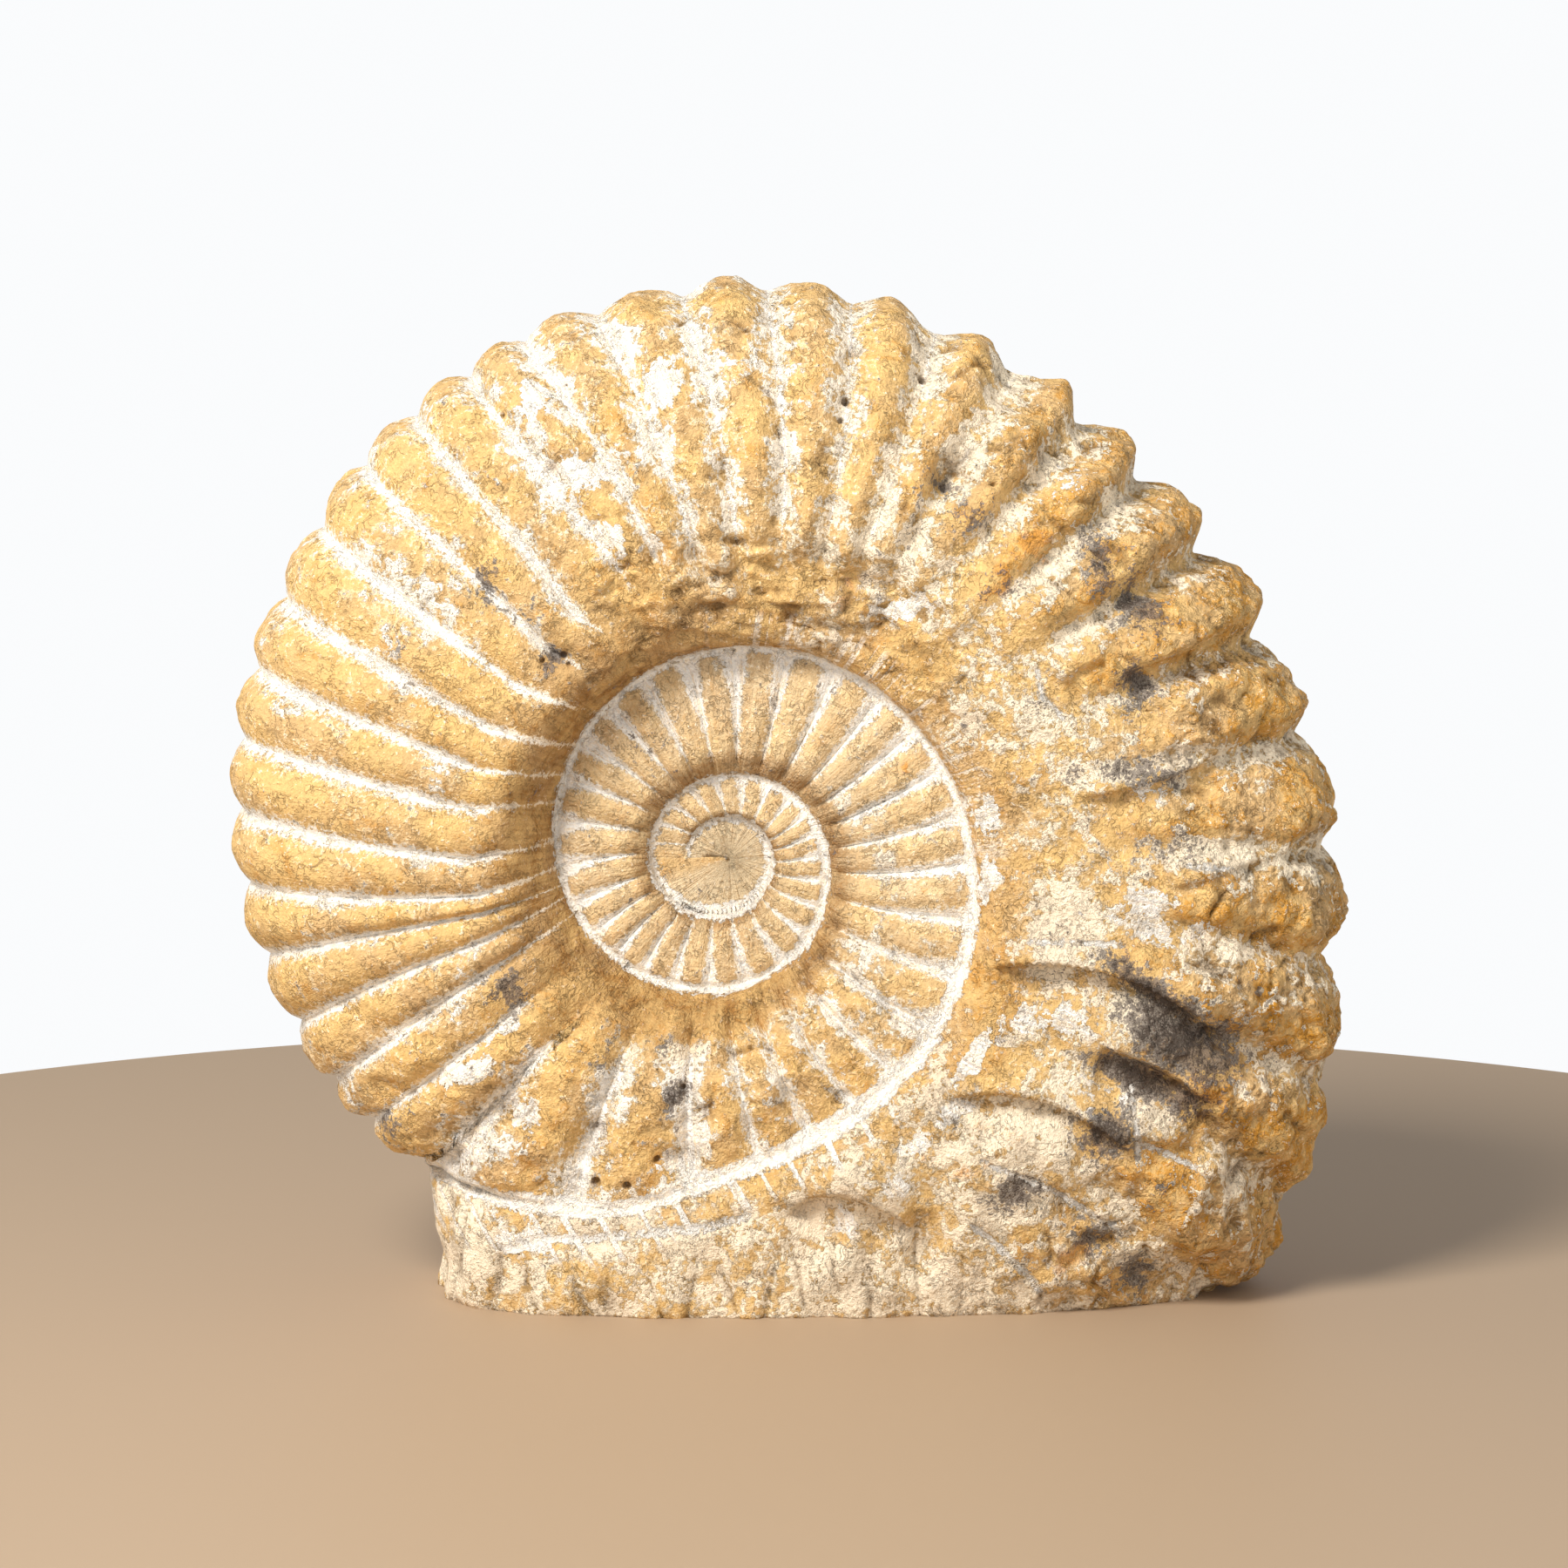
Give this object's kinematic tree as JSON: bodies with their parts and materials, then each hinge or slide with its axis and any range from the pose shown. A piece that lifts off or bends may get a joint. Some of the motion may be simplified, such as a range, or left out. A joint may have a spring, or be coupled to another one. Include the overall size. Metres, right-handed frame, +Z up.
{
  "type": "fossil ammonite",
  "caption": "Ribbed coiled ammonite shell in ochre limestone, cut flat underneath so that it stands on its rim.",
  "frame": {"origin": "middle of the stone's width and thickness, on the flat cut that it stands on", "axes": "+Z up, +X along the stone's width to the right as seen from the front, +Y from the front to the back"},
  "size_m": [0.2616, 0.089, 0.2383],
  "materials": {
    "stone": "dull ochre limestone with chalky white grooves and grey stains"
  },
  "bodies": {
    "root": {"ammonite": "stone"}
  },
  "joints": []
}
